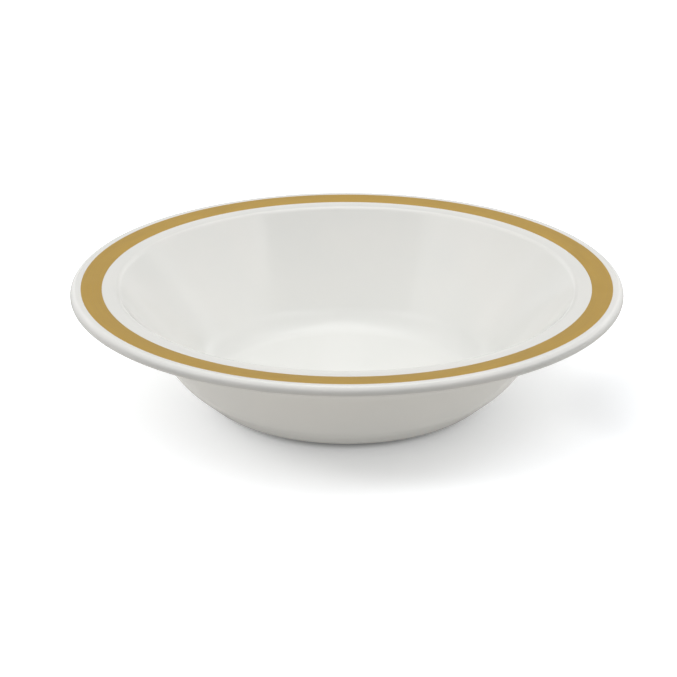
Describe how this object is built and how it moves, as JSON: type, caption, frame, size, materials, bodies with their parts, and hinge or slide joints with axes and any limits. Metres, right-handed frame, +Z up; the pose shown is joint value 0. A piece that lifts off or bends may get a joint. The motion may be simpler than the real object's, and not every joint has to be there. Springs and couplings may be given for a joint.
{
  "type": "serving bowl",
  "caption": "Wide shallow round porcelain serving bowl with a flat flange, a rolled lip, a gilt band on the flange and a low foot ring.",
  "frame": {"origin": "middle of the foot ring's standing plane, on the turning axis", "axes": "+Z up along the turning axis, out of the bowl's mouth; the bowl is the same in every direction round it"},
  "size_m": [0.24, 0.24, 0.0549],
  "materials": {
    "biscuit": "unglazed fired porcelain, fine matt, seen only on the foot ring's standing face",
    "glaze": "smooth glossy warm white glaze",
    "gilding": "satin gold, thin on-glaze gilding, laid on in strokes round the flange"
  },
  "bodies": {
    "root": {"porcelain_body": "biscuit", "bowl_glaze": "glaze", "recess_glaze": "glaze", "gilt_band": "gilding"}
  },
  "joints": []
}
